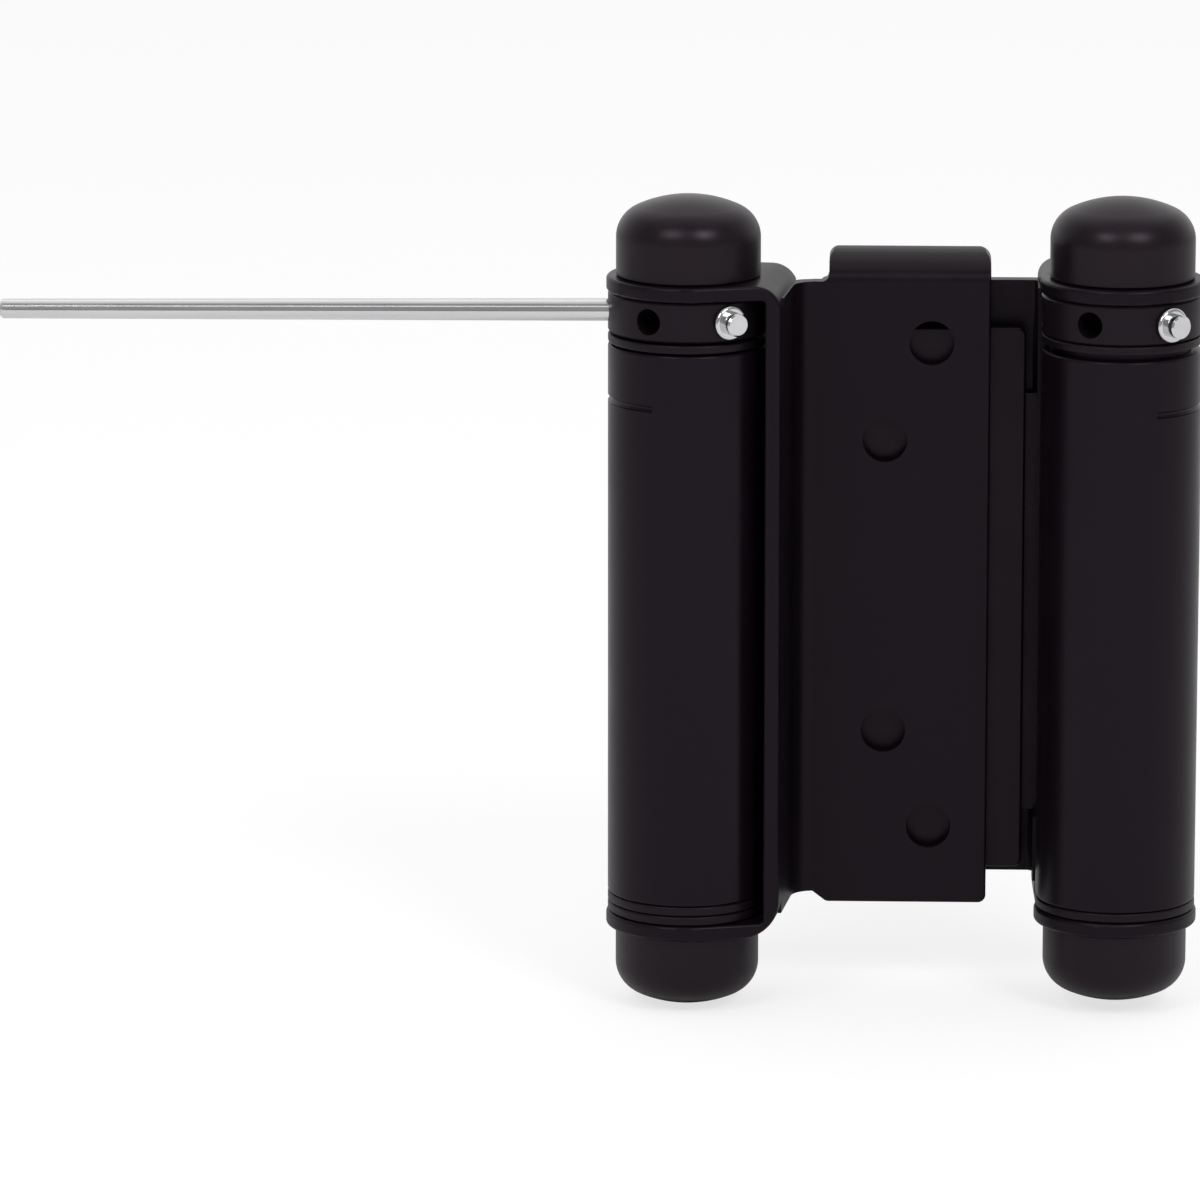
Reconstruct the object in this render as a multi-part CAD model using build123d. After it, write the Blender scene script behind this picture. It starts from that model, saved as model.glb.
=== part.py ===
from build123d import *
import os
from math import cos, radians, sin, sqrt

# Double action spring hinge for a cafe door, in millimetres.
# X runs from the left barrel to the right one, Y from the viewer to the back, Z up.
# The origin lies on the jamb leaf's wood face, midway between the barrels and at mid height.

# barrels: each is one sheet, rolled to a tube with a flat tab that runs behind the hinge
axis_spacing = 65.2
barrel_radius = 12.1
barrel_sheet = 1.6
barrel_length = 84.8
seam_gap = 0.25          # between the rolled end and the tab
crease_depth = 0.4       # pressed line that keeps the collar's neck in
crease_width = 1.0
crease_drop = 8.3        # from the tube's top
crease_arc = 130.0
tab_top = 40.3
tab_bottom = -43.8
left_tab_edge = 18.4     # free edge of the front tab
right_tab_edge = -12.0   # free edge of the lapped tab
lap_top = 30.0           # the lapped tab is shorter, which leaves room for the door leaf's tongues
lap_bottom = -35.0
joggle_start = 5.25      # from the right axis to the step that brings the lapped tab behind the front one
joggle_run = 5.0         # length of that step
tab_round = 0.35
tube_round = 0.4
root_reach = 1.2         # the right tube's tab stops here outside the lap, which clears the tongues
slide_gap = 0.4          # between the leaves and the tabs

# leaves: folded sheet
leaf_sheet = 2.3
ear_margin = 0.25        # the ears stand this far past the barrels
ear_rim = 0.55           # round on the edges of the bracket
ear_under = 47.9         # inner face of both top ears
stack_play = 0.1         # between pieces that turn on each other
jamb_flange_left = -11.5
jamb_flange_right = 13.0
jamb_flange_top = 52.0
jamb_flange_bottom = -48.9
jamb_neck_top = 47.8
jamb_neck_bottom = -47.2
neck_step = 2.2          # width of the S curve between neck and flange
lip_shoulder = 2.7       # outer radius of the fold at the flange's top
lip_shoulder_angle = 50.0
lip_crown = 10.0         # outer radius of the curved lip
lip_end_angle = 93.0
lip_corner_lift = 0.5    # the lip's corner rounds run out this far above it
wall_gap = 0.7           # from the left barrel to the bracket wall
wall_slant = 7.0         # the wall isn't square to the flange
wall_fold = 3.6          # inner radius between wall and flange
bracket_top_round = 4.0  # outer radii between wall and ears
bracket_bottom_round = 5.5
ear_fold = 0.6           # inner radius there, pressed nearly square
flange_corner = 1.2
flange_rim = 0.4         # round on the edges of the flanges
door_flange_left = -13.0
door_flange_top = 47.1
door_flange_bottom = -45.2
tongue_gap = 0.4         # from the right barrel to the tongue, at rest and while it turns
tongue_fold = 0.8
door_ear_round = 2.8
window_play = 0.1        # the tongue's cut-out clears the lapped tab by this above and below

# screw holes: countersunk on the side that faces the web
screw_radius = 3.4
sink_radius = 4.7
sink_depth = 1.2
screws_middle = 0.8
outer_screws_x = 4.1
outer_screws_spacing = 75.2
inner_screws_x = -2.9
inner_screws_spacing = 45.2

# collars, rings and caps
collar_height = 6.0
collar_holes = 6
collar_hole_radius = 2.0
collar_hole_depth = 7.0
left_collar_angle = -28.5    # direction of a hole, from the viewer towards the right
right_collar_angle = -24.9
neck_play = 0.15             # the collar's neck in the tube
neck_depth = 11.0
neck_groove = 0.8
upper_ring_height = 1.3
left_ring_gap = 0.35         # between collar and ring
right_ring_gap = 0.1
left_tube_gap = 0.3          # between ring and tube
right_tube_gap = 1.0
foot_ring_height = 1.4
anchor_depth = 8.0
anchor_play = 0.05
cap_radius = 10.9
cap_height = 12.1
cap_dome = 19.0
cap_shoulder = 5.0
cap_bore_depth = 7.5
edge_round = 0.3

# pins, bar, spindles and springs
pin_shank = 1.75
pin_depth = 5.5              # of the shank, inside the collar
pin_flange_radius = 2.65
pin_flange_height = 1.0
pin_tip_radius = 1.78
pin_tip_length = 1.9
pin_edge = 0.25
bar_radius = 1.75            # at the collar
bar_tip_radius = 1.5         # it tapers towards its free end
bar_length = 97.6
bar_depth = 6.0              # of the bar, inside the collar
bar_end = 0.5
spindle_radius = 3.0
spindle_play = 0.06
spring_radius = 7.0          # to the middle of the wire
spring_wire = 1.4
spring_turns = 7
spring_gap = 0.3             # from the spring's ends to what it bears on
spring_slot_radius = 1.7
spring_tail = 2.8            # straight end of the wire
cut = 1.0                    # how far a cutting solid runs past what it cuts
tiny = 0.01

# places that follow from the sizes above
left_axis = -axis_spacing / 2
right_axis = axis_spacing / 2
bore_radius = barrel_radius - barrel_sheet
front_tab_y = leaf_sheet + slide_gap
axis_y = front_tab_y - bore_radius
lap_tab_y = front_tab_y + barrel_sheet
door_flange_y = lap_tab_y + barrel_sheet + slide_gap
door_wood_y = door_flange_y + leaf_sheet
ear_top = ear_under + leaf_sheet
collar_top = ear_under - stack_play
collar_under = collar_top - collar_height
collar_middle = collar_under + collar_height / 2
neck_radius = bore_radius - neck_play
roll_end = sqrt(barrel_radius**2 - (bore_radius - seam_gap)**2)
ear_radius = barrel_radius + ear_margin
wall_reach = barrel_radius + wall_gap
tongue_reach = barrel_radius + tongue_gap
tongue_front = sqrt(tongue_reach**2 - (tongue_reach - leaf_sheet)**2)


class Side:
    """Heights of the pieces stacked on one spindle."""

    def __init__(self, name, x, turn, ring_gap, tube_gap, washers):
        self.name = name
        self.x = x
        self.turn = turn
        self.washers = washers
        self.ring_top = collar_under - ring_gap
        self.ring_under = self.ring_top - upper_ring_height
        self.tube_top = self.ring_under - tube_gap
        self.tube_under = self.tube_top - barrel_length
        self.neck_under = self.tube_top - neck_depth
        self.foot_top = self.tube_under - anchor_play
        self.foot_under = self.foot_top - foot_ring_height
        self.ear_under = self.foot_under - stack_play - washers * (foot_ring_height + stack_play)
        self.bottom = self.ear_under - leaf_sheet

    def at(self, z=0.0):
        return Pos(self.x, axis_y, z)


left = Side("left", left_axis, left_collar_angle, left_ring_gap, left_tube_gap, 1)
right = Side("right", right_axis, right_collar_angle, right_ring_gap, right_tube_gap, 0)


def disc(radius, low, high):
    """A cylinder on the Z axis between two heights."""
    return Pos(0, 0, (low + high) / 2) * Cylinder(radius, high - low)


def block(x_low, x_high, y_low, y_high, z_low, z_high):
    """A box given by its faces."""
    middle = Pos((x_low + x_high) / 2, (y_low + y_high) / 2, (z_low + z_high) / 2)
    return middle * Box(x_high - x_low, y_high - y_low, z_high - z_low)


def raised(face, low, high):
    """A sketch drawn in X and Y, extruded between two heights."""
    return Pos(0, 0, low) * extrude(face, high - low, dir=(0, 0, 1))


def deepened(face, front, back):
    """A sketch drawn in X and Z, extruded from one Y to another."""
    return Pos(0, front, 0) * extrude(Plane.XZ * face, back - front, dir=(0, 1, 0))


def radial(turn, radius, height):
    """A place on a barrel's axis whose Z points outwards, turned from the viewer to the right."""
    direction = (sin(radians(turn)), -cos(radians(turn)), 0)
    place = Vector(*direction) * radius + Vector(0, 0, height)
    return Location(Plane(origin=place, z_dir=direction))


# barrels

def rolled_tube(side, root):
    """The tube, open along a seam on the right, where its sheet runs straight as far as root."""
    tube = disc(barrel_radius, side.tube_under, side.tube_top)
    tube = fillet(tube.edges().filter_by(GeomType.CIRCLE), tube_round)
    tube -= disc(bore_radius, side.tube_under - cut, side.tube_top + cut)
    tube -= block(0, roll_end, 0, barrel_radius + cut, side.tube_under - cut, side.tube_top + cut)
    tube += block(0, root, bore_radius, barrel_radius, side.tube_under, side.tube_top)
    crease = Pos(-barrel_radius, side.tube_top - crease_drop)
    groove = Plane.XZ * crease * Ellipse(crease_depth, crease_width / 2)
    return tube - revolve(Rot(0, 0, -crease_arc / 2) * groove, Axis.Z, crease_arc)


def mirror_x(shape):
    """The same shape with left and right exchanged."""
    return shape.mirror(Plane.YZ)


def left_barrel():
    tab = block(
        left_axis + roll_end, left_tab_edge,
        front_tab_y, lap_tab_y,
        tab_bottom, tab_top,
    )
    tab = fillet(tab.edges().filter_by(Axis.Y).group_by(Axis.X)[-1], flange_corner)
    root = tab.faces().sort_by(Axis.X)[0].edges()
    tab = fillet([e for e in tab.edges() - root if abs(e.tangent_at(0.5).Y) < tiny], tab_round)
    return left.at() * rolled_tube(left, roll_end + cut) + tab


def right_barrel():
    tube = right.at() * mirror_x(rolled_tube(right, root_reach))
    joggle_right = right_axis - cut
    step_right = right_axis - joggle_start
    step_left = step_right - joggle_run
    outline = Polygon(
        (joggle_right, front_tab_y), (joggle_right, lap_tab_y), (step_right, lap_tab_y),
        (step_left, lap_tab_y + barrel_sheet), (right_tab_edge, lap_tab_y + barrel_sheet),
        (right_tab_edge, lap_tab_y), (step_left, lap_tab_y), (step_right, front_tab_y),
        align=None,
    )
    return tube + raised(outline, lap_bottom, lap_top)


# leaves

def wall_x(reach, y):
    """X of the slanted bracket wall at a given Y, for a face at this reach from the left axis."""
    slant = radians(wall_slant)
    return left_axis + (reach + (y - axis_y) * sin(slant)) / cos(slant)


def bracket_section(side, far, low_round, high_round):
    """Wall and two ears in X and Z, open to the left, with the wall's outer face at far."""
    near = -ear_radius - cut

    def bent(right_x, low, high, low_radius, high_radius):
        face = Polygon((near, low), (right_x, low), (right_x, high), (near, high), align=None)
        face = fillet(face.vertices().sort_by_distance((right_x, low))[0], low_radius)
        return fillet(face.vertices().sort_by_distance((right_x, high))[0], high_radius)

    outer = bent(far, side.bottom, ear_top, low_round, high_round)
    return outer - bent(far - leaf_sheet, side.ear_under, ear_under, ear_fold, ear_fold)


def rim_edges(bracket):
    """The edges between a bracket's sheet faces and its cut sides."""
    side_edges = [e for e in bracket.edges() if abs(e.tangent_at(0.5).Y) < 1 - tiny]
    return [e for e in side_edges if abs(e.tangent_at(0.5).Z) < 1 - tiny or e.length > 2 * leaf_sheet]


def screw_cutters(face_y, sink_y):
    """The four screw holes through one flange, with their countersinks at sink_y."""
    inward = 1 if sink_y > face_y else -1
    places = []
    for x, spacing in ((outer_screws_x, outer_screws_spacing), (inner_screws_x, inner_screws_spacing)):
        place = x * inward
        places += [(place, screws_middle + spacing / 2), (place, screws_middle - spacing / 2)]
    cutters = []
    middle_y = (face_y + sink_y) / 2
    for x, z in places:
        hole = Pos(x, middle_y, z) * Rot(90, 0, 0) * Cylinder(screw_radius, leaf_sheet + 2 * cut)
        profile = Polygon(
            (0, 0), (screw_radius, 0), (sink_radius, sink_depth), (sink_radius, sink_depth + cut),
            (0, sink_depth + cut), align=None,
        )
        sink = revolve(Plane.XZ * profile, Axis.Z)
        start = sink_y - inward * sink_depth
        cutters += [hole, Pos(x, start, z) * Rot(-90 * inward, 0, 0) * sink]
    return cutters


def lipped_flange():
    """The jamb flange with the curved lip along its top, between its side edges."""
    bend = radians(lip_shoulder_angle)
    end = radians(lip_end_angle)
    rise = lip_shoulder * sin(bend) + lip_crown * (1 - sin(bend))
    fold_z = jamb_flange_top - rise
    crown_y = lip_shoulder * (1 - cos(bend)) + lip_crown * cos(bend)
    crown_z = jamb_flange_top - lip_crown

    def shoulder(radius, angle):
        return (lip_shoulder - radius * cos(angle), fold_z + radius * sin(angle))

    def crown(radius, angle):
        return (crown_y - radius * cos(angle), crown_z + radius * sin(angle))

    def arc(fold, radius, start, finish):
        return ThreePointArc(fold(radius, start), fold(radius, (start + finish) / 2), fold(radius, finish))

    thin_shoulder = lip_shoulder - leaf_sheet
    thin_crown = lip_crown - leaf_sheet
    outline = [
        Line((0, jamb_flange_bottom), (0, fold_z)),
        arc(shoulder, lip_shoulder, 0, bend),
        arc(crown, lip_crown, bend, end),
        Line(crown(lip_crown, end), crown(thin_crown, end)),
        arc(crown, thin_crown, end, bend),
        arc(shoulder, thin_shoulder, bend, 0),
        Line((leaf_sheet, fold_z), (leaf_sheet, jamb_flange_bottom)),
        Line((leaf_sheet, jamb_flange_bottom), (0, jamb_flange_bottom)),
    ]
    face = Plane.YZ * make_face(outline)
    return Pos(left_axis, 0, 0) * extrude(face, jamb_flange_right - left_axis, dir=(1, 0, 0))


def jamb_outline():
    """Front view of the jamb flange: a neck beside the bracket, then the wider part."""
    start = left_axis - cut
    face = Polygon(
        (start, jamb_neck_bottom), (jamb_flange_left - neck_step, jamb_neck_bottom),
        (jamb_flange_left, jamb_flange_bottom), (jamb_flange_right, jamb_flange_bottom),
        (jamb_flange_right, jamb_flange_top + lip_corner_lift),
        (jamb_flange_left, jamb_flange_top + lip_corner_lift),
        (jamb_flange_left, jamb_neck_top), (start, jamb_neck_top), align=None,
    )
    rounded = face.vertices().filter_by(lambda v: v.X > start + cut)
    return fillet(rounded, flange_corner)


def jamb_leaf():
    slant = Rot(0, 0, -wall_slant)
    section = bracket_section(left, wall_reach + leaf_sheet, bracket_bottom_round, bracket_top_round)
    bracket = deepened(section, -ear_radius, ear_radius)
    ear_plan = Circle(ear_radius)
    ear_plan += Pos((wall_reach + leaf_sheet) / 2, 0) * Rectangle(wall_reach + leaf_sheet, 2 * ear_radius)
    bracket = bracket & raised(ear_plan, left.bottom - cut, ear_top + cut)
    bracket = left.at() * slant * fillet(rim_edges(bracket), ear_rim)
    back = leaf_sheet
    bracket -= block(
        wall_x(wall_reach, axis_y) - cut, jamb_flange_left, axis_y, axis_y + 2 * ear_radius,
        jamb_neck_bottom, jamb_neck_top,
    )
    front = axis_y - ear_radius / 2
    fold = Polygon(
        (wall_x(wall_reach, front), front), (wall_x(wall_reach, back), back),
        (jamb_flange_left, back), (jamb_flange_left, 0),
        (wall_x(wall_reach + leaf_sheet, 0), 0), (wall_x(wall_reach + leaf_sheet, front), front),
        align=None,
    )
    outer_corner = fold.vertices().sort_by_distance((wall_x(wall_reach, back), back))[0]
    fold = fillet(outer_corner, wall_fold + leaf_sheet)
    inner_corner = fold.vertices().sort_by_distance((wall_x(wall_reach + leaf_sheet, 0), 0))[0]
    fold = fillet(inner_corner, wall_fold)
    neck = raised(fold, jamb_neck_bottom, jamb_neck_top)
    flange = lipped_flange() & deepened(jamb_outline(), -cut, lip_crown + lip_shoulder)
    side_face = flange.faces().filter_by(Axis.X).sort_by(Axis.X)[-1]
    rim = [e for e in side_face.edges() if e.length > leaf_sheet + tiny or e.geom_type == GeomType.CIRCLE]
    flange = fillet(rim, flange_rim)
    flange -= block(
        left_axis - cut, jamb_flange_left - neck_step, -cut, 2 * leaf_sheet,
        jamb_flange_bottom, jamb_flange_top,
    )
    leaf = bracket + neck + flange
    leaf -= left.at() * disc(spindle_radius + spindle_play, left.bottom - cut, ear_top + cut)
    for cutter in screw_cutters(0, leaf_sheet):
        leaf -= cutter
    return leaf


def door_leaf():
    section = bracket_section(right, tongue_reach, door_ear_round, door_ear_round)
    section = section.mirror(Plane.YZ)
    depth = door_wood_y - axis_y
    bracket = deepened(section, -ear_radius, depth)
    root_strip = Pos(-tongue_reach / 2, depth - cut / 2) * Rectangle(tongue_reach, cut)
    ear_plan = make_hull((Circle(ear_radius - ear_rim) + root_strip).edges())
    ear_plan &= Pos(ear_radius - tongue_reach, 0) * Rectangle(2 * ear_radius, 4 * ear_radius)
    bracket = bracket & raised(ear_plan, right.bottom - cut, ear_top + cut)
    bracket -= block(
        -tongue_reach - cut, tongue_reach, -ear_radius - cut, tongue_front, right.ear_under, ear_under,
    )
    for low in (right.bottom, ear_under):
        ear = disc(ear_radius, low, low + leaf_sheet)
        bracket += fillet(ear.edges().filter_by(GeomType.CIRCLE), ear_rim)
    bracket = right.at() * bracket
    tongue_x = right_axis - tongue_reach
    inside = tongue_x + leaf_sheet
    fold = Polygon(
        (door_flange_left, door_flange_y), (door_flange_left, door_wood_y), (inside, door_wood_y),
        (inside, axis_y + tongue_front), (tongue_x, axis_y + tongue_front), (tongue_x, door_flange_y),
        align=None,
    )
    fold = fillet(fold.vertices().sort_by_distance((inside, door_wood_y))[0], tongue_fold + leaf_sheet)
    fold = fillet(fold.vertices().sort_by_distance((tongue_x, door_flange_y))[0], tongue_fold)
    flange = raised(fold, door_flange_bottom, door_flange_top)
    square = flange.edges().filter_by(Axis.Y).group_by(Axis.X)[0]
    flange = fillet(square, flange_corner)
    window = block(
        tongue_x - tongue_fold, inside + cut, axis_y, door_wood_y + cut,
        lap_bottom - window_play, lap_top + window_play,
    )
    spare = block(
        inside - tongue_fold - leaf_sheet, inside, door_wood_y - tongue_fold - leaf_sheet, door_wood_y,
        door_flange_bottom, door_flange_top,
    )
    bracket -= spare
    leaf = bracket + flange - window
    leaf -= right.at() * disc(spindle_radius + spindle_play, right.bottom - cut, ear_top + cut)
    for cutter in screw_cutters(door_wood_y, door_flange_y):
        leaf -= cutter
    return leaf


# collars and rings

def collar(side):
    body = disc(barrel_radius, collar_under, collar_top)
    body = chamfer(body.edges().filter_by(GeomType.CIRCLE), edge_round)
    body += disc(neck_radius, side.neck_under, collar_under)
    groove_z = side.tube_top - crease_drop
    groove = disc(neck_radius + cut, groove_z - crease_width, groove_z + crease_width)
    body -= groove - disc(neck_radius - neck_groove, groove_z - crease_width, groove_z + crease_width)
    body -= disc(spindle_radius + spindle_play, side.neck_under - cut, collar_top + cut)
    length = collar_hole_depth + cut
    for number in range(collar_holes):
        turn = side.turn + 360 / collar_holes * number
        place = radial(turn, barrel_radius - collar_hole_depth, collar_middle)
        body -= place * Pos(0, 0, length / 2) * Cylinder(collar_hole_radius, length)
    body -= Pos(spring_radius, 0, side.neck_under) * Cylinder(spring_slot_radius, 2 * spring_tail)
    return side.at() * body


def upper_ring(side):
    ring = disc(barrel_radius, side.ring_under, side.ring_top)
    ring = fillet(ring.edges().filter_by(GeomType.CIRCLE), edge_round)
    ring -= disc(neck_radius + anchor_play, side.ring_under - cut, side.ring_top + cut)
    return side.at() * ring


def spring_anchor(side):
    """The plug pressed into the tube's foot: its rim shows below the tube as a ring."""
    rim = disc(barrel_radius, side.foot_under, side.foot_top)
    rim = fillet(rim.edges().filter_by(GeomType.CIRCLE), edge_round)
    top = side.foot_top + anchor_depth
    plug = rim + disc(bore_radius - anchor_play, side.foot_top, top)
    plug -= disc(spindle_radius + spindle_play, side.foot_under - cut, top + cut)
    plug -= Pos(spring_radius, 0, top) * Cylinder(spring_slot_radius, 2 * spring_tail)
    return side.at() * plug


def foot_washer(side):
    high = side.foot_under - stack_play
    ring = disc(barrel_radius, high - foot_ring_height, high)
    ring = fillet(ring.edges().filter_by(GeomType.CIRCLE), edge_round)
    ring -= disc(spindle_radius + spindle_play, high - foot_ring_height - cut, high + cut)
    return side.at() * ring


def cap(side, upper):
    """A turned cap: straight side, rounded shoulder and a low dome, bored for the spindle."""
    face = Rectangle(cap_radius, cap_height, align=(Align.MIN, Align.MIN))
    face &= Pos(0, cap_height - cap_dome) * Circle(cap_dome)
    shoulder = face.vertices().filter_by(lambda v: abs(v.X - cap_radius) < tiny).sort_by(Axis.Y)[-1]
    face = fillet(shoulder, cap_shoulder)
    foot = face.vertices().filter_by(lambda v: abs(v.X - cap_radius) < tiny).sort_by(Axis.Y)[0]
    face = chamfer(foot, edge_round)
    body = revolve(Plane.XZ * face, Axis.Z)
    body -= disc(spindle_radius + spindle_play, -cut, cap_bore_depth)
    if upper:
        return side.at(ear_top) * body
    return side.at(side.bottom) * Rot(180, 0, 0) * body


# pins, bar, spindles and springs

def spindle(side):
    reach = cap_bore_depth - stack_play
    rod = disc(spindle_radius, side.bottom - reach, ear_top + reach)
    return side.at() * chamfer(rod.edges().filter_by(GeomType.CIRCLE), edge_round)


def stop_pin(side):
    """A stepped pin: shank in the collar, flange on its rim, and a thinner tip."""
    shank = disc(pin_shank, -pin_depth, 0)
    flange = disc(pin_flange_radius, 0, pin_flange_height)
    flange = fillet(flange.edges().filter_by(GeomType.CIRCLE), pin_flange_height / 2 - tiny)
    tip = disc(pin_tip_radius, 0, pin_flange_height + pin_tip_length)
    tip = chamfer(tip.edges().filter_by(GeomType.CIRCLE).sort_by(Axis.Z)[-1], pin_edge)
    place = radial(side.turn + 360 / collar_holes, barrel_radius, collar_middle)
    return side.at() * place * (shank + flange + tip)


def tommy_bar():
    place = radial(left.turn - 360 / collar_holes, barrel_radius, collar_middle)
    bar = Pos(0, 0, bar_length / 2 - bar_depth) * Cone(bar_radius, bar_tip_radius, bar_length)
    bar = chamfer(bar.edges().filter_by(GeomType.CIRCLE), bar_end)
    return left.at() * place * bar


def spring(side):
    """A torsion spring with a straight end in the collar's neck and one in the foot plug."""
    low = side.foot_top + anchor_depth + spring_gap + spring_wire
    high = side.neck_under - spring_gap - spring_wire
    pitch = (high - low) / spring_turns
    coil = Helix(pitch=pitch, height=high - low, radius=spring_radius)
    start = Plane(origin=coil @ 0, z_dir=coil % 0)
    wire = sweep(start * Circle(spring_wire), path=coil, is_frenet=True)
    ends = Pos(spring_radius, 0, 0) * disc(spring_wire, -spring_tail, 0)
    ends += Pos(spring_radius, 0, high - low) * disc(spring_wire, 0, spring_tail)
    return side.at(low) * (wire + ends)


parts = {
    "jamb_leaf": jamb_leaf(),
    "door_leaf": door_leaf(),
    "left_barrel": left_barrel(),
    "right_barrel": right_barrel(),
    "tommy_bar": tommy_bar(),
    "left_foot_washer": foot_washer(left),
}
for side in (left, right):
    parts[f"{side.name}_collar"] = collar(side)
    parts[f"{side.name}_upper_ring"] = upper_ring(side)
    parts[f"{side.name}_spring_anchor"] = spring_anchor(side)
    parts[f"{side.name}_top_cap"] = cap(side, True)
    parts[f"{side.name}_bottom_cap"] = cap(side, False)
    parts[f"{side.name}_spindle"] = spindle(side)
    parts[f"{side.name}_stop_pin"] = stop_pin(side)
    parts[f"{side.name}_spring"] = spring(side)

os.makedirs("parts", exist_ok=True)
for node, solid in parts.items():
    export_step(solid, f"parts/{node}.step")
    print(node, round(solid.volume, 1))
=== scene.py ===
import math

import bmesh
import bpy
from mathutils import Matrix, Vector


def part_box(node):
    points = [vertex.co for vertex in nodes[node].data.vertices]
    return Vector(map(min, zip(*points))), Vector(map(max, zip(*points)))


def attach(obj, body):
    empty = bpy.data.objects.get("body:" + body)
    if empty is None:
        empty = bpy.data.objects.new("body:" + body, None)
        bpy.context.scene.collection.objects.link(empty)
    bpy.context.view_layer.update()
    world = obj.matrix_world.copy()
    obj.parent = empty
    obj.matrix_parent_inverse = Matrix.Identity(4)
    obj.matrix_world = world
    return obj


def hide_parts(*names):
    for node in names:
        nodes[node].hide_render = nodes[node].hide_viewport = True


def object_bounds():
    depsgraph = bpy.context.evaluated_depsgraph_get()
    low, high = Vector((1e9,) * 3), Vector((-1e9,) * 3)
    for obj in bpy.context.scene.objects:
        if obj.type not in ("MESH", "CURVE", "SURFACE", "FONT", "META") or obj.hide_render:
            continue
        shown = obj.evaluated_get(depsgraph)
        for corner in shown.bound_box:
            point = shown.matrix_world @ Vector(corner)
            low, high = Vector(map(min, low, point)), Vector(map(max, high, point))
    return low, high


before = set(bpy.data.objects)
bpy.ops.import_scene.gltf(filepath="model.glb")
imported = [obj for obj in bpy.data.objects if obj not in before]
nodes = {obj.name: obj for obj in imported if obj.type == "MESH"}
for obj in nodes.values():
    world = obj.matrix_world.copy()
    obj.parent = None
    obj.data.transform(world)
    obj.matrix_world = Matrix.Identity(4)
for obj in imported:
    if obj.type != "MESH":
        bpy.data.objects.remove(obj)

cad_low, cad_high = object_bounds()


# Camera. The hinge is seen straight on and a little from above, through a long lens that keeps the
# barrels nearly upright. It stands in front of the web and turns slightly to the left, because the
# tommy bar makes the picture's middle lie beside the left barrel.
picture_side = 1200
axes_scale = 6595.0          # pixels to the metre at the barrel axes
camera_distance = 1.3        # from the plane of the barrel axes
camera_elevation = 12.4
aim_x = -0.0459

cap_low, cap_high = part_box("left_top_cap")
left_axis = (cap_low.x + cap_high.x) / 2
axis_y = (cap_low.y + cap_high.y) / 2
aim = Vector((aim_x, axis_y, (cad_low.z + cad_high.z) / 2))
camera_height = camera_distance * math.tan(math.radians(camera_elevation))
camera_place = Vector((0, axis_y - camera_distance, aim.z + camera_height))
camera_data = bpy.data.cameras.new("camera")
camera = bpy.data.objects.new("camera", camera_data)
bpy.context.scene.collection.objects.link(camera)
camera.location = camera_place
camera.rotation_euler = (aim - camera_place).to_track_quat("-Z", "Y").to_euler()
camera_data.lens = camera_data.sensor_width * axes_scale * (aim - camera_place).length / picture_side
camera_data.clip_start = 0.05
camera_data.clip_end = 50
bpy.context.scene.camera = camera


# Light. A white studio: a wide soft lamp overhead, a soft box high on each side of the viewer, a strip
# between them, and a white surround that is mirrored bright behind the hinge and dim around the viewer.
surround_light = 0.49
front_glow = 0.31            # of the surround as it is mirrored around the viewer
back_glow = 1.0              # and behind the hinge
fade_start = -0.2            # where the one turns into the other, -1 in front and 1 behind
fade_end = 0.9
lamps = (                    # place, width and height in metres, and watts
    ("overhead", (0.0, 0.25, 1.6), (2.0, 1.6), 5.2),
    ("left_box", (-0.68, -1.17, 1.05), (0.55, 0.6), 6.6),
    ("right_box", (0.68, -1.17, 1.05), (0.55, 0.6), 8.6),
    ("strip", (0.0, -1.30, 1.15), (0.9, 0.14), 0.6),
)

world = bpy.data.worlds.new("studio")
bpy.context.scene.world = world
world.use_nodes = True
net = world.node_tree
net.nodes.clear()
place = net.nodes.new("ShaderNodeTexCoord")
axes = net.nodes.new("ShaderNodeSeparateXYZ")
fade = net.nodes.new("ShaderNodeMapRange")
fade.interpolation_type = "SMOOTHSTEP"
fade.inputs["From Min"].default_value = fade_start
fade.inputs["From Max"].default_value = fade_end
fade.inputs["To Min"].default_value = front_glow
fade.inputs["To Max"].default_value = back_glow
dim = net.nodes.new("ShaderNodeBackground")
white = net.nodes.new("ShaderNodeBackground")
dull = net.nodes.new("ShaderNodeBackground")
dull.inputs["Strength"].default_value = surround_light
rays = net.nodes.new("ShaderNodeLightPath")
seen = net.nodes.new("ShaderNodeMixShader")
mirrored = net.nodes.new("ShaderNodeMixShader")
out = net.nodes.new("ShaderNodeOutputWorld")
net.links.new(place.outputs["Generated"], axes.inputs[0])
net.links.new(axes.outputs["Y"], fade.inputs["Value"])
net.links.new(fade.outputs["Result"], dim.inputs["Strength"])
net.links.new(rays.outputs["Is Glossy Ray"], mirrored.inputs[0])
net.links.new(dull.outputs[0], mirrored.inputs[1])
net.links.new(dim.outputs[0], mirrored.inputs[2])
net.links.new(rays.outputs["Is Camera Ray"], seen.inputs[0])
net.links.new(mirrored.outputs[0], seen.inputs[1])
net.links.new(white.outputs[0], seen.inputs[2])
net.links.new(seen.outputs[0], out.inputs["Surface"])
for background in (dim, white, dull):
    background.inputs["Color"].default_value = (1, 1, 1, 1)

for name, spot, size, power in lamps:
    data = bpy.data.lights.new(name, "AREA")
    data.shape = "RECTANGLE"
    data.size, data.size_y = size
    data.energy = power
    lamp = bpy.data.objects.new(name, data)
    bpy.context.scene.collection.objects.link(lamp)
    lamp.location = spot
    lamp.rotation_euler = (-Vector(spot)).to_track_quat("-Z", "Y").to_euler()


# Floor. A plain white table top, just under the lower caps. It takes the hinge's soft shadow, and
# shines a little in the picture, which brings the sheet to white around that shadow.
floor_reach = 8.0
floor_drop = 0.0002
floor_white = 0.9
floor_shine = 0.6            # share of the floor that shines in the picture
floor_glow = 1.17            # with this strength

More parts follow.
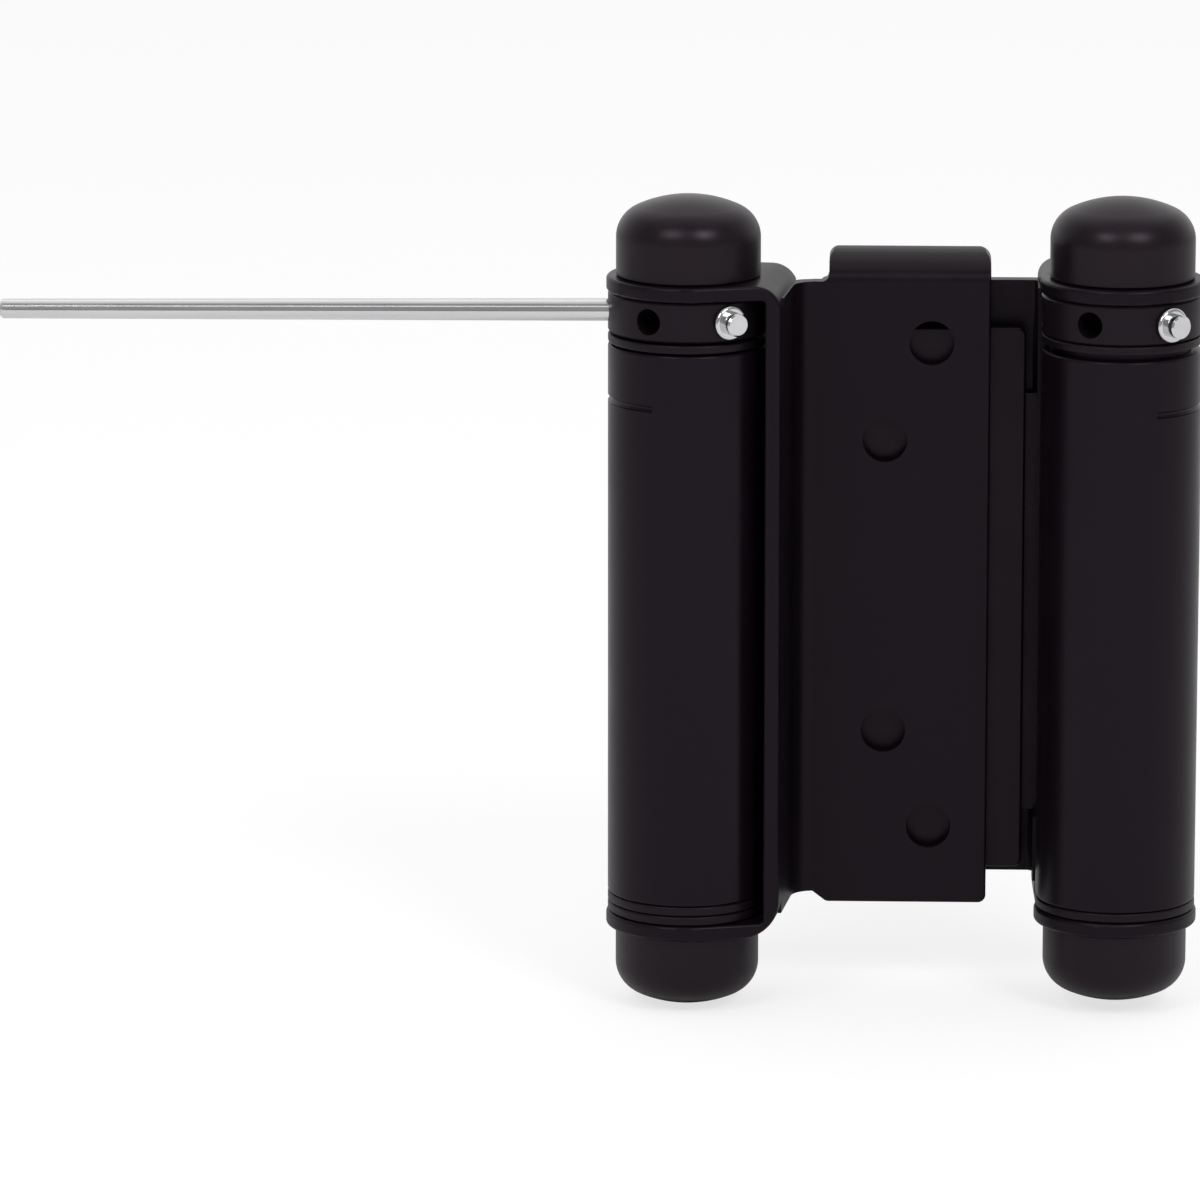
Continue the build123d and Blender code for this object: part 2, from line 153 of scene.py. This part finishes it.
bpy.ops.object.select_all(action="DESELECT")
bpy.ops.mesh.primitive_plane_add(size=floor_reach, location=(0, 0, cad_low.z - floor_drop))
floor = bpy.context.object
floor.name = "floor"
bpy.ops.object.transform_apply(location=True, rotation=True, scale=True)
paper = bpy.data.materials.new("white_table")
paper.use_nodes = True
net = paper.node_tree
matt = net.nodes["Principled BSDF"]
matt.inputs["Base Color"].default_value = (floor_white, floor_white, floor_white, 1)
matt.inputs["Roughness"].default_value = 0.9
matt.inputs["Specular IOR Level"].default_value = 0.1
glow = net.nodes.new("ShaderNodeEmission")
glow.inputs["Strength"].default_value = floor_glow
rays = net.nodes.new("ShaderNodeLightPath")
share = net.nodes.new("ShaderNodeMath")
share.operation = "MULTIPLY"
share.inputs[1].default_value = floor_shine
blend = net.nodes.new("ShaderNodeMixShader")
net.links.new(rays.outputs["Is Camera Ray"], share.inputs[0])
net.links.new(share.outputs[0], blend.inputs[0])
net.links.new(matt.outputs[0], blend.inputs[1])
net.links.new(glow.outputs[0], blend.inputs[2])
net.links.new(blend.outputs[0], net.nodes["Material Output"].inputs["Surface"])
floor.data.materials.append(paper)


# Door leaf. One blank of steel sheet, pierced, folded and powder coated satin black after the folding.
# The coat is baked, so it flows into a faint orange peel, and its gloss and depth drift a little.
coat_shine = (1.0, 0.82, 0.98, 1)
coat_patches = 70.0          # slow patches of gloss and depth, to the metre
coat_depth = (0.8, 1.25)     # of the tone, in thin and in thick patches
coat_gloss = (-0.04, 0.05)   # on the roughness, in the same patches


def powder_coat(name, tone, sheen, roughness, peel_size, peel_depth):
    """Satin black powder coat, with its orange peel in metres."""
    coat = bpy.data.materials.new(name)
    coat.use_nodes = True
    tree = coat.node_tree
    shader = tree.nodes["Principled BSDF"]
    shader.inputs["Specular IOR Level"].default_value = sheen
    shader.inputs["Specular Tint"].default_value = coat_shine
    spot = tree.nodes.new("ShaderNodeTexCoord")
    drift = tree.nodes.new("ShaderNodeTexNoise")
    drift.inputs["Scale"].default_value = coat_patches
    drift.inputs["Detail"].default_value = 3.0
    grain = tree.nodes.new("ShaderNodeTexNoise")
    grain.inputs["Scale"].default_value = 1 / peel_size
    grain.inputs["Detail"].default_value = 4.0
    tint = tree.nodes.new("ShaderNodeMix")
    tint.data_type = "RGBA"
    thin, thick = coat_depth
    tint.inputs["A"].default_value = (*[c * thin for c in tone], 1)
    tint.inputs["B"].default_value = (*[c * thick for c in tone], 1)
    gloss = tree.nodes.new("ShaderNodeMapRange")
    gloss.inputs["From Min"].default_value = 0.3
    gloss.inputs["From Max"].default_value = 0.7
    gloss.inputs["To Min"].default_value = roughness + coat_gloss[0]
    gloss.inputs["To Max"].default_value = roughness + coat_gloss[1]
    peel = tree.nodes.new("ShaderNodeBump")
    peel.inputs["Strength"].default_value = 1.0
    peel.inputs["Distance"].default_value = peel_depth
    tree.links.new(spot.outputs["Object"], drift.inputs["Vector"])
    tree.links.new(spot.outputs["Object"], grain.inputs["Vector"])
    tree.links.new(drift.outputs["Fac"], tint.inputs["Factor"])
    tree.links.new(tint.outputs["Result"], shader.inputs["Base Color"])
    tree.links.new(drift.outputs["Fac"], gloss.inputs["Value"])
    tree.links.new(gloss.outputs["Result"], shader.inputs["Roughness"])
    tree.links.new(grain.outputs["Fac"], peel.inputs["Height"])
    tree.links.new(peel.outputs["Normal"], shader.inputs["Normal"])
    return coat


def dress(piece, material):
    """Puts a material on all faces of a piece."""
    mesh = piece.data
    mesh.materials.clear()
    mesh.materials.append(material)
    mesh.polygons.foreach_set("material_index", [0] * len(mesh.polygons))


leaf_coat = powder_coat(
    "leaf_coat", tone=(0.0038, 0.0023, 0.0040), sheen=0.16, roughness=0.36,
    peel_size=0.0009, peel_depth=0.000012,
)
dress(nodes["door_leaf"], leaf_coat)


# Jamb leaf. One blank of the same sheet, folded into the lip, the screw flange, the wall and the two
# ears of the left barrel. Ears and wall are trimmed aslant at the front, so that the bracket falls back
# from the barrel towards the web, and the blank's corners at the lip are rounded.
trim_lean = math.radians(14)
trim_round = 0.0005
trim_steps = 3               # faces across that round
flange_left = -0.0115
flange_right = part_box("jamb_leaf")[1].x
lip_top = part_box("jamb_leaf")[1].z
lip_corners = ((-1, flange_left, 0.0015), (1, flange_right, 0.0019))
lip_room = 0.02              # more than the lip's depth, for the cut through it
corner_over = 0.001          # how far that cut runs past the corner
punch_sides = 96             # of the whole round that shapes a corner
merge_gap = 0.000001         # between points that count as one
flat_within = math.radians(0.2)
sharp_from = math.radians(45)
smooth_within = math.radians(35)
parallel = 0.9999            # cosine between two directions that count as one


def cut_away(piece, tool):
    """Takes the tool's shape out of the piece, and then the tool away."""
    bpy.ops.object.select_all(action="DESELECT")
    piece.select_set(True)
    bpy.context.view_layer.objects.active = piece
    bpy.ops.object.modifier_add(type="BOOLEAN")
    cut = piece.modifiers[0]
    cut.operation = "DIFFERENCE"
    cut.object = tool
    bpy.ops.object.modifier_apply(modifier=cut.name)
    bpy.data.objects.remove(tool)


def gusset(corner_x, corner_z, side, up, radius, over, low_y, high_y):
    """What a round leaves of a square corner: a prism along Y that runs past the corner by over."""
    length = high_y - low_y
    middle_y = (low_y + high_y) / 2
    bpy.ops.object.select_all(action="DESELECT")
    bpy.ops.mesh.primitive_cylinder_add(
        vertices=punch_sides, radius=radius, depth=2 * length, rotation=(math.pi / 2, 0, 0),
        location=(corner_x - side * radius, middle_y, corner_z - up * radius),
    )
    punch = bpy.context.object
    bpy.ops.mesh.primitive_cube_add(
        size=1, scale=(radius + over, length, radius + over),
        location=(corner_x + side * (over - radius) / 2, middle_y, corner_z + up * (over - radius) / 2),
    )
    prism = bpy.context.object
    bpy.ops.object.transform_apply(location=True, rotation=True, scale=True)
    cut_away(prism, punch)
    return prism


bpy.ops.object.select_all(action="DESELECT")
jamb_leaf = bpy.data.objects.new("trimmed_jamb_leaf", nodes["jamb_leaf"].data.copy())
bpy.context.scene.collection.objects.link(jamb_leaf)
jamb_leaf.select_set(True)
bpy.context.view_layer.objects.active = jamb_leaf
bpy.ops.mesh.customdata_custom_splitnormals_clear()
bpy.ops.object.mode_set(mode="EDIT")
bpy.ops.mesh.select_mode(type="EDGE")
bpy.ops.mesh.select_all(action="SELECT")
bpy.ops.mesh.remove_doubles(threshold=merge_gap)
bpy.ops.mesh.dissolve_limited(angle_limit=flat_within)
bpy.ops.mesh.select_all(action="SELECT")
ear_reach = left_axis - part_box("jamb_leaf")[0].x
trim_normal = Vector((math.sin(trim_lean), -math.cos(trim_lean), 0))
trim_spot = Vector((left_axis, axis_y, 0)) + ear_reach * trim_normal
bpy.ops.mesh.bisect(plane_co=trim_spot, plane_no=trim_normal, use_fill=True, clear_outer=True)
bpy.ops.mesh.select_all(action="DESELECT")
shell = bmesh.from_edit_mesh(jamb_leaf.data)
for edge in shell.edges:
    trimmed = any(abs(face.normal.dot(trim_normal)) > parallel for face in edge.link_faces)
    edge.select_set(trimmed and edge.calc_face_angle() > sharp_from)
bpy.ops.mesh.bevel(offset=trim_round, segments=trim_steps, affect="EDGES")
bpy.ops.object.mode_set(mode="OBJECT")
for side, side_x, corner_round in lip_corners:
    chip = gusset(side_x, lip_top, side, 1, corner_round, corner_over, -lip_room, lip_room)
    cut_away(jamb_leaf, chip)
bpy.ops.object.shade_smooth_by_angle(angle=smooth_within)
bpy.ops.object.modifier_add(type="WEIGHTED_NORMAL")
shading = jamb_leaf.modifiers[0]
shading.keep_sharp = True
bpy.ops.object.modifier_apply(modifier=shading.name)
dress(jamb_leaf, leaf_coat)
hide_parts("jamb_leaf")
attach(jamb_leaf, "jamb")


# Window corners. The door leaf's fold has a window for the lapped tab, punched with round corners. The
# sheet that is left in its two corners by the web shows behind the web, beside the right barrel.
window_side = 0.0193
window_round = 0.002
window_corners = (("upper_corner", 0.0301, 1), ("lower_corner", -0.0351, -1))
door_sheet = 0.0023
sunk = 0.00005               # into the sheet, and below its two faces
round_within = math.radians(30)

door_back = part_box("door_leaf")[1].y
for corner_name, edge_z, up in window_corners:
    corner = gusset(
        window_side, edge_z, -1, up, window_round, sunk, door_back - door_sheet + sunk, door_back - sunk,
    )
    corner.name = corner_name
    bpy.ops.object.shade_smooth_by_angle(angle=round_within)
    dress(corner, leaf_coat)
    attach(corner, "door")


# Barrels. Each is one steel sheet rolled to a tube, with the rest of the sheet left flat as its tab. The
# two tabs are lapped and welded, and both barrels are powder coated a little glossier than the leaves.
barrel_coat = powder_coat(
    "barrel_coat", tone=(0.0040, 0.0024, 0.0042), sheen=0.17, roughness=0.31,
    peel_size=0.0011, peel_depth=0.000012,
)
for node in ("left_barrel", "right_barrel"):
    dress(nodes[node], barrel_coat)


# Collars, rings, washer and plugs. They are turned from steel bar, drilled where they take a pin, and
# coated with a thinner and duller film than the sheet. The spindles hold them in line.
turned_coat = powder_coat(
    "turned_coat", tone=(0.0046, 0.0030, 0.0044), sheen=0.20, roughness=0.40,
    peel_size=0.0006, peel_depth=0.000008,
)
for node in (
    "left_collar", "right_collar", "left_upper_ring", "right_upper_ring",
    "left_foot_washer", "left_spring_anchor", "right_spring_anchor",
):
    dress(nodes[node], turned_coat)


# Caps. Domes turned from steel bar, fixed on the ends of the spindles above and below the ears. Their
# coat is like the collars', with a little more shine on the dome.
cap_coat = powder_coat(
    "cap_coat", tone=(0.0052, 0.0034, 0.0048), sheen=0.25, roughness=0.36,
    peel_size=0.0007, peel_depth=0.000006,
)
for node in ("left_top_cap", "left_bottom_cap", "right_top_cap", "right_bottom_cap"):
    dress(nodes[node], cap_coat)


# Stop pins and tommy bar. Steel rod with bright zinc plating, pushed into the holes of the collars. Under
# the plating the bar keeps the fine lines of the drawn rod, and the pins are finely and evenly mottled.
plate_dark = (0.60, 0.60, 0.62, 1)
plate_light = (0.74, 0.74, 0.74, 1)
plate_gloss = (-0.05, 0.08)  # on the roughness, along the same marks
mark_depth = 0.000006


def plated_steel(name, roughness, marks_to_metre):
    """Bare or plated steel, with marks as close along X, Y and Z as the three numbers say."""
    plate = bpy.data.materials.new(name)
    plate.use_nodes = True
    tree = plate.node_tree
    shader = tree.nodes["Principled BSDF"]
    shader.inputs["Metallic"].default_value = 1.0
    spot = tree.nodes.new("ShaderNodeTexCoord")
    scaled = tree.nodes.new("ShaderNodeMapping")
    scaled.inputs["Scale"].default_value = marks_to_metre
    lines = tree.nodes.new("ShaderNodeTexNoise")
    lines.inputs["Scale"].default_value = 1.0
    lines.inputs["Detail"].default_value = 5.0
    tint = tree.nodes.new("ShaderNodeMix")
    tint.data_type = "RGBA"
    tint.inputs["A"].default_value = plate_dark
    tint.inputs["B"].default_value = plate_light
    gloss = tree.nodes.new("ShaderNodeMapRange")
    gloss.inputs["To Min"].default_value = roughness + plate_gloss[0]
    gloss.inputs["To Max"].default_value = roughness + plate_gloss[1]
    marks = tree.nodes.new("ShaderNodeBump")
    marks.inputs["Distance"].default_value = mark_depth
    tree.links.new(spot.outputs["Object"], scaled.inputs["Vector"])
    tree.links.new(scaled.outputs["Vector"], lines.inputs["Vector"])
    tree.links.new(lines.outputs["Fac"], tint.inputs["Factor"])
    tree.links.new(tint.outputs["Result"], shader.inputs["Base Color"])
    tree.links.new(lines.outputs["Fac"], gloss.inputs["Value"])
    tree.links.new(gloss.outputs["Result"], shader.inputs["Roughness"])
    tree.links.new(lines.outputs["Fac"], marks.inputs["Height"])
    tree.links.new(marks.outputs["Normal"], shader.inputs["Normal"])
    return plate


bar_plate = plated_steel("bar_plate", 0.16, (60.0, 900.0, 900.0))
dress(nodes["tommy_bar"], bar_plate)
pin_plate = plated_steel("pin_plate", 0.14, (500.0, 500.0, 500.0))
for node in ("left_stop_pin", "right_stop_pin"):
    dress(nodes[node], pin_plate)


# Spindles and springs. They are hidden in the barrels: each spindle is bare ground steel through ears,
# collar and barrel, and each spring is oiled steel wire, held by the plug below and the collar above.
spindle_steel = plated_steel("spindle_steel", 0.3, (400.0, 400.0, 2000.0))
spring_steel = plated_steel("spring_steel", 0.38, (700.0, 700.0, 700.0))
for side in ("left", "right"):
    dress(nodes[f"{side}_spindle"], spindle_steel)
    dress(nodes[f"{side}_spring"], spring_steel)


# Colours are shown as they are lit.
bpy.context.scene.view_settings.view_transform = "Standard"
